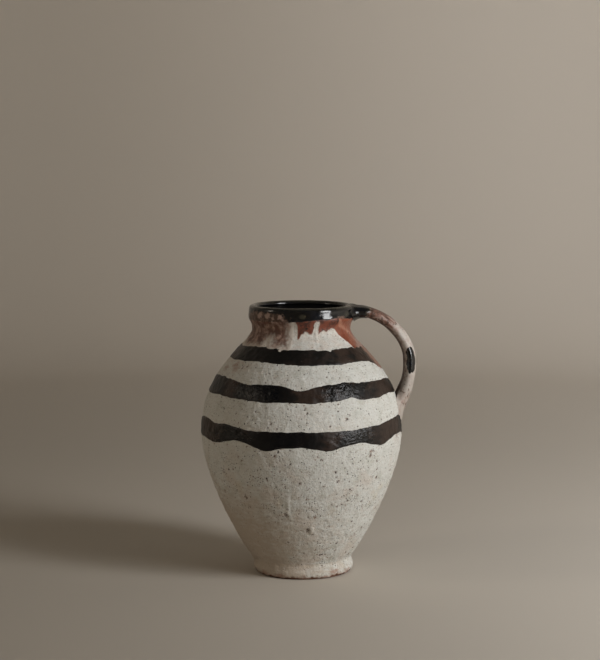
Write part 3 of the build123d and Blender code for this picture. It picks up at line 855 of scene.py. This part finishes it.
# Foot: a turned clay ring, bare and worn at its edge, under a coat of slip with a chipped lower edge
foot = dict(
    columns=520, rows=40, backRows=10, ringRows=64, lowest=0.9, tremble=1.3, thickness=0.1, back=0.62,
    corner=1.6, dentAngle=-90, dentSpread=52, dent=4.2, overlap=0.3,
    chips=[(-11, 3, 2.0), (13, 2.5, 0.8), (43, 3, 2.8), (65, 2.5, 1.8), (-38, 4, 0.8), (110, 4, 1.8),
           (160, 5, 2.2), (-120, 5, 1.8), (-85, 4, 1.4)],
    smears=[(40, 4.5, 11, 5.0), (27, 2, 7, 3.5), (3, 2, 6, 3.0), (-24, 3, 9, 4.0), (63, 3.5, 9, 4.0),
            (-48, 3, 9, 4.5), (100, 3, 12, 4.0), (150, 3, 9, 4.0), (-160, 3, 12, 4.5), (-110, 3, 10, 4.0)],
    smearRadius=57.0, stain=0.6, shadeAndSoil=1.1, topDip=0.14, wear=0.16,
)


def dented(points):
    # The foot isn't quite round: it is pushed in by a bell round one angle, less toward the waist
    c = foot
    radius = radiusOf(points)
    gap = degreesFrom(np.arctan2(points[..., 0], -points[..., 1]), c["dentAngle"])
    push = c["dent"] * bell(gap, c["dentSpread"]) * smooth(jar["waistHeight"], 9, points[..., 2])
    points[..., :2] *= (1 - push / radius)[..., None]
    return points


def footSlipCoat():
    # Slip on the side of the foot: it thins to nothing at its ragged lower edge
    c = foot
    turn = turns(c["columns"])
    edge = brushedEdge(turn, c["lowest"], c["chips"], c["tremble"], 170)
    low = outside.alongAt(np.maximum(edge, 0.5))
    high = outside.alongAt(jar["waistHeight"] + c["overlap"])
    turn, along, across, face, _ = coatGrid(c, low, high)
    lift, mark = markedSlip(turn, along)
    rise = along - low[:, None]
    lift = (lift + c["thickness"] + c["back"]) * smooth(-0.3, 1.1, rise) - c["back"]
    lift = np.where(face, lift - c["topDip"] * smooth(0.92, 1.0, across), -c["back"])
    mark = np.maximum(mark, 2.0 * smooth(3.0, 0.2, rise) - 1)
    stain = c["stain"] * smooth(6.0, 0.5, rise)
    smear = 1.2 * ovals(turn, rise, c["smears"], c["smearRadius"])
    smear = np.maximum(1.2 * smooth(4.0, 0.4, rise) - 0.25, smear)
    # Painted shade over the foot, darker on its left, with some soiling
    shadeAndSoil = c["shadeAndSoil"] * (0.82 - 0.54 * np.sin(turn + 0.2))
    points = dented(turned(outside, turn, along, lift))
    addPiece("foot_slip_coat", points, chalk, ["foot_slip"],
             dict(mark=mark, stain=stain, smear=smear, shadeAndSoil=shadeAndSoil))


def footRing():
    # Ring of clay: its half section goes down the bore, under the flat, and up the side to the waist
    c = foot
    bore = jar["footRadius"] - jar["ringWidth"]
    sideRun = np.array([p for p in outside.points if p[1] < jar["waistHeight"]]) - point(jar["coat"], 0)
    boreTop, boreEnd = point(bore, jar["waistHeight"] - 0.4), point(bore, c["corner"])
    flat = point(bore + c["corner"], 0)
    halfCorner = c["corner"] / 2
    turnUp = curve(point(sideRun[0, 0] - c["corner"], 0), point(halfCorner, 0), -0.5 * up, sideRun[8], 12)
    section = Outline(
        np.linspace(boreTop, boreEnd, 20), curve(boreEnd, -halfCorner * up, point(-halfCorner, 0), flat, 12),
        np.linspace(flat, turnUp[0], 20), turnUp, sideRun[9:], np.linspace(sideRun[-1], boreTop, 20)[:-1])
    along = np.linspace(0, section.along[-1], c["ringRows"])
    turn = turns(c["columns"])[:, None] + 0 * along
    along = along + 0 * turn
    lift = c["wear"] * grain(turned(section, turn, along), 3.5, 3, 180) - 0.10
    points = dented(turned(section, turn, along, np.minimum(lift, 0.12)))
    points[..., 2] = np.maximum(points[..., 2], 0.0)
    addPiece("foot_clay_ring", points, clay, ["foot_ring"])


footSlipCoat()
footRing()

# Strap handle: its line in the plane of the handle, its oval section and how it is smeared onto the jar
strap = dict(
    root=(52.0, 288.9), rootSlope=26.8, rootPull=33.0, widestHeight=240.0, fingerGap=33.0, pullAbove=25.8,
    pullBelow=8.0, footHeight=176.8, footBury=10.4, footSlope=56.1, footPull=41.9,
    width=25.0, endWidth=31.0, rootThickness=11.7, footThickness=15.5,
    upperCoil=(17.0, 5.0, 1.2), lowerCoil=(34.0, 6.0, 2.5), coilEdge=1.0, coilFade=9.0,
    smear=9.0, buried=0.35, deepest=4.5, runOn=14.0,
    rings=330, around=132, start=3.5, glazeReach=18.5, underlap=5.0, rustReach=(44, 2), lowerRust=0.30,
    innerShadeStrength=0.85, upperShadeStrength=0.40,
    swell=0.35, streaks=0.14, grit=0.05, glazeRings=64, glazeRagged=2.6, glazeLean=1.5, glazeThickness=0.24,
    patchHeight=236.9, patchAround=1.40, patchLength=14.0, patchSpread=0.66, patchLobes=0.24, patchRise=1.15,
    patchSunk=0.5, patchColumns=96, patchRings=18,
)


def strapLine():
    # Two cubic curves from the collar out to the widest point and back to the shoulder, run on into the wall
    s = strap
    root = point(*s["root"])
    thick = (s["rootThickness"] + s["footThickness"]) / 2
    widest = point(outside.radiusAt(s["widestHeight"]) + s["fingerGap"] + thick / 2, s["widestHeight"])
    end = point(outside.radiusAt(s["footHeight"]) - s["footBury"], s["footHeight"])
    line = np.vstack([
        curve(root, slant(s["rootPull"], s["rootSlope"]), s["pullAbove"] * up, widest),
        curve(widest, -s["pullBelow"] * up, slant(s["footPull"], s["footSlope"]), end),
    ])
    runOn = np.linspace(end, end - slant(s["runOn"], s["footSlope"]), 30)
    return Outline(line, runOn), steps(line).sum()


strapPath, strapLength = strapLine()


def strapAxes(along):
    # Half width and half thickness of the oval at a length along the strap, spread by the coils at its ends
    s = strap
    share = np.clip(along / strapLength, 0, 1)
    width = (s["width"] + (s["endWidth"] - s["width"]) * (2 * share - 1) ** 2) / 2
    thick = (s["rootThickness"] + (s["footThickness"] - s["rootThickness"]) * share) / 2
    for (reach, spread, flat), away in ((s["upperCoil"], along), (s["lowerCoil"], strapLength - along)):
        close = np.clip(1 - away / reach, 0, 1) ** 2
        edge = s["coilEdge"] * smooth(reach + s["coilFade"], reach - 2, away)
        width = width + edge + (spread - s["coilEdge"]) * close
        thick = thick + edge + (flat - s["coilEdge"]) * close
    return width, thick


def strapPoints(along, around, lift=0.0):
    # Point of the oval, at an angle round it from the outer face; where the strap nears the jar it is where
    # the smooth union of strap and jar ends, found by halving along the ray from the strap's line
    s = strap
    x, z, inX, inZ = strapPath.at(along)
    width, thick = strapAxes(along)
    plain = 1 / np.sqrt((np.cos(around) / thick) ** 2 + (np.sin(around) / width) ** 2) + lift

    def at(distance):
        level = distance * np.cos(around)
        return np.stack([x - level * inX, -distance * np.sin(around), z - level * inZ], -1)

    def jarGap(place):
        radius = radiusOf(place)
        surface = outside.radiusAt(place[..., 2]) - s["buried"] + lift
        below = outside.radiusAt(place[..., 2] - 1.0)
        above = outside.radiusAt(place[..., 2] + 1.0)
        wall = (radius - surface) / np.sqrt(1 + ((above - below) / 2.0) ** 2)
        lip = np.hypot(radius - lipMiddle[0], place[..., 2] - lipMiddle[1]) - lipRadius + s["buried"] - lift
        return np.where(place[..., 2] > lipMiddle[1], lip, wall)

    def union(distance):
        first, second = distance - plain, jarGap(at(distance))
        close = np.maximum(s["smear"] - np.abs(first - second), 0) / s["smear"]
        return np.minimum(first, second) - close ** 2 * s["smear"] / 4

    low, high = 0 * plain, plain + 26.0
    missed = union(high) < 0
    for _ in range(30):
        middle = (low + high) / 2
        within = union(middle) < 0
        low, high = np.where(within, middle, low), np.where(within, high, middle)
    place = at(np.where(missed, plain, low))
    radius = radiusOf(place)
    shallow = np.maximum(radius, outside.radiusAt(place[..., 2]) - s["deepest"]) / np.maximum(radius, 1e-6)
    place[..., :2] *= shallow[..., None]
    return place


def strapFields(along, around):
    # Place on the strap laid out straight: the length along it and the place in its oval
    width, thick = strapAxes(along)
    return np.stack([along + 0 * around, width * np.sin(around), thick * np.cos(around)], -1)


def strapRelief(along, around):
    # Unevenness of the strap: long swells, streaks drawn along it, and grit
    s = strap
    place = strapFields(along, around)
    return (s["swell"] * lumps(place, (30, 9, 9), 200) + s["streaks"] * grain(place, (12, 3, 3), 2, 204)
            + s["grit"] * lumps(place, 1.8, 208))


# Length along the strap, within its outward run, at which the dark glaze ends
glazeRadius = jar["collarRadius"] + strap["glazeReach"]
glazeEnd = np.interp(glazeRadius, strapPath.points[:200, 0], strapPath.along[:200])
roundStrap = np.linspace(0, 2 * np.pi, strap["around"], endpoint=False)[:, None]    # from its outer face


def handleSlipCoat():
    # Tube of slip over the strap, from under the dark glaze, where it sinks, into the shoulder
    s = strap
    along = np.linspace(glazeEnd - s["underlap"], strapPath.along[-1], s["rings"])
    along, around = along + 0 * roundStrap, roundStrap + 0 * along
    lift = strapRelief(along, around) - 0.7 * smooth(glazeEnd + 1.0, glazeEnd - 2.0, along)
    points = strapPoints(along, around, lift)
    past = along - glazeEnd
    left = strapLength - along
    rust = smooth(*s["rustReach"], past) + s["lowerRust"] * bell(left - 22, 8)
    # Painted shade along the inner side of the strap, stronger toward its top and fading out near its lower
    # end
    inner = smooth(0.05, 0.80, -np.cos(around)) * smooth(-4, 6, left - 20)
    paintedInnerShade = inner * (s["innerShadeStrength"] + s["upperShadeStrength"] * smooth(80, 20, past))
    # Painted shade that greys the last few centimetres of the strap
    paintedLowShade = smooth(75, 35, left)
    addPiece("handle_slip_coat", points, strapChalk, ["handle_slip"],
             dict(strap=strapFields(along, around), rust=rust, paintedInnerShade=paintedInnerShade, paintedLowShade=paintedLowShade), (True, False))


def handleRootGlaze():
    # Dark glaze that ran from the collar onto the strap, and ends in a ragged bead
    s = strap
    rim = np.stack([0 * roundStrap, 8 * np.sin(roundStrap), 8 * np.cos(roundStrap)], -1)
    end = glazeEnd + s["glazeRagged"] * grain(rim, 5, 3, 220) + s["glazeLean"] * np.cos(roundStrap)
    along = s["start"] + (end - s["start"]) * np.linspace(0, 1, s["glazeRings"])
    around = roundStrap + 0 * along
    left = end - along
    lift = strapRelief(along, around) + s["glazeThickness"] - 0.75 * smooth(3.6, -0.2, left)
    points = strapPoints(along, around, lift)
    fields = plainGlaze(along, 0.95 * smooth(8.0, 2.0, left), smooth(5.5, 0.8, left))
    addPiece("handle_root_dark_glaze", points, glaze, ["handle_root_glaze"], fields,
             (True, False))


def handlePatch():
    # Dark blot on the front of the strap: a dome over a lobed outline
    s = strap
    outer = strapPath.points[:, 0] > jar["bellyRadius"]
    middle = strapPath.along[outer][np.argmin(np.abs(strapPath.points[outer, 1] - s["patchHeight"]))]
    turn = turns(s["patchColumns"])[:, None]
    share = np.r_[np.linspace(0.04, 1, s["patchRings"]), 0.8, 0.4]    # the last two rings are its back
    onFace = np.arange(len(share)) < s["patchRings"]
    rim = np.stack([13 * np.cos(turn), 10 * np.sin(turn), 0 * turn], -1)
    reach = 1 + s["patchLobes"] * grain(rim, 6, 3, 240)
    along = middle + s["patchLength"] * reach * share * np.cos(turn)
    around = s["patchAround"] + s["patchSpread"] * reach * share * np.sin(turn)
    dome = np.sqrt(np.maximum(1 - share ** 4, 0)) * s["patchRise"] - s["patchSunk"]
    lift = np.where(onFace, dome + 0.12 * lumps(strapFields(along, around), 5, 244), -0.55)
    points = strapPoints(along, around, lift + strapRelief(along, around))
    fields = plainGlaze(along, 0.8 * smooth(0.8, 1.0, share))
    addPiece("handle_dark_patch", points, glaze, ["handle_patch"], fields, (True, False))


handleSlipCoat()
handleRootGlaze()
handlePatch()

# Studio: a round pale floor that curves up into a wall, two soft lamps and a soft sky
studio = dict(
    floor=(0.53, 0.485, 0.42), wall=(0.72, 0.665, 0.59), radius=1.7, bend=1.0, wallTop=3.0,
    leftPaintedShade=(0.78, 0.77, 0.755), rightPaintedLight=(1.2, 1.21, 1.23), tintReach=(-700, 700),
    farPaintedShade=(0.70, 0.70, 0.70), farReach=(1000, 2000),
    shade=(0.11, 0.10, 0.087), shadeMiddle=(1450, -910, 350), shadeReach=(1250, 350),
    middle=(0.0, 0.0, 0.16), wallStart=(700, 2300),
    lamps={
        "key": dict(turn=58, rise=22, away=1.9, size=(0.65, 1.35), power=37.0, colour=(0.985, 0.99, 1.0),
                    aim=(1.0, 1.2, 0.2)),
        "fill": dict(turn=-74, rise=24, away=2.1, size=(0.18, 0.9), power=3.6, colour=(1.0, 0.89, 0.76),
                     aim=(0.0, 0.0, 0.16)),
    },
    sky=(1.0, 0.90, 0.77), skyStrength=0.088, around=128, floorRings=30, bendRings=24,
)


def studioFloor():
    # Surface of revolution: a level run, a quarter circle and an upright
    s = studio
    bend = np.linspace(0, np.pi / 2, s["bendRings"])[:, None]
    corner = point(s["radius"], s["bend"]) + s["bend"] * np.hstack([np.sin(bend), -np.cos(bend)])
    level = np.linspace(point(0.002, 0), point(s["radius"], 0), s["floorRings"])[:-1]
    run = np.vstack([level, corner, point(s["radius"] + s["bend"], s["wallTop"])])
    turn = turns(s["around"])
    grid = carried(turn[:, None], *run.T)
    ids = np.arange(len(turn) * len(run)).reshape(len(turn), len(run))
    ring = np.concatenate([ids, ids[:1]])
    faces = np.stack([ring[:-1, 1:], ring[1:, 1:], ring[1:, :-1], ring[:-1, :-1]], -1).reshape(-1, 4).tolist()
    mesh = bpy.data.meshes.new("studioFloor")
    mesh.from_pydata(grid.reshape(-1, 3).tolist(), [], [*faces, ids[:, 0].tolist()])
    mesh.polygons.foreach_set("use_smooth", np.ones(len(mesh.polygons), bool))
    f = Finish("studioFloor", s, "floor", {"IOR": 1.3})
    away = f.node("ShaderNodeVectorMath", {"operation": "LENGTH"}, {0: f.here}, "Value")
    f.lay("wall", away, *s["wallStart"])
    # Seen by the camera, the bare studio has painted shade on the left, painted light on the right, and much
    # darker painted shade beside the key lamp, so that it doesn't burn out. Its light on the jar isn't
    # changed by that
    beside = f.node("ShaderNodeVectorMath", {"operation": "DISTANCE"},
                    {0: f.here, 1: s["shadeMiddle"]}, "Value")
    seen = f.node("ShaderNodeLightPath", output="Is Camera Ray")
    across = f.level("X")
    tint = f.mix(f.step(across, *s["tintReach"]), "leftPaintedShade", "rightPaintedLight")
    tint = f.mix(f.step(across, *s["farReach"]), tint, "farPaintedShade")
    f.colour = f.mix(seen, f.colour, tint, "MULTIPLY")
    f.lay("shade", beside, *s["shadeReach"], seen)
    mesh.materials.append(f.done(0.9))
    floor = inScene("studioFloor", mesh)


def studioLamps():
    # Soft rectangles of light at a turn and a rise from the jar, each pointed at its aim, and an even sky
    s = studio
    middle = np.array(s["middle"])
    for name, lamp in s["lamps"].items():
        light = bpy.data.lights.new(name, "AREA")
        light.shape = "RECTANGLE"
        light.size, light.size_y = lamp["size"]
        light.energy = lamp["power"]
        light.color = lamp["colour"]
        turn, rise = np.radians([lamp["turn"], lamp["rise"]])
        toLamp = carried(turn, np.cos(rise), np.sin(rise))
        holder = inScene(name, light)
        holder.location = place = middle + lamp["away"] * toLamp
        ahead = (lamp["aim"] - place) / np.linalg.norm(lamp["aim"] - place)
        holder.rotation_euler = (np.arccos(-ahead[2]), 0, np.arctan2(-ahead[0], ahead[1]))
    world = bpy.data.worlds.new("sky")
    world.use_nodes = True
    background = world.node_tree.nodes["Background"].inputs
    background["Color"].default_value = (*s["sky"], 1.0)
    background["Strength"].default_value = s["skyStrength"]
    bpy.context.scene.world = world


studioFloor()
studioLamps()
print("studio set:", len(studio["lamps"]), "lamps")

# Camera at the photograph's viewing angle
view = dict(place=(-0.0017, -1.958, 0.4752), tilt=-5.94, lens=96.0, sensor=36.0)
lens = bpy.data.cameras.new("camera")
lens.lens, lens.sensor_width = view["lens"], view["sensor"]
holder = inScene("camera", lens)
holder.location = view["place"]
holder.rotation_euler = (np.radians(90 + view["tilt"]), 0, 0)
bpy.context.scene.camera = holder
bpy.context.scene.view_settings.view_transform = "Standard"
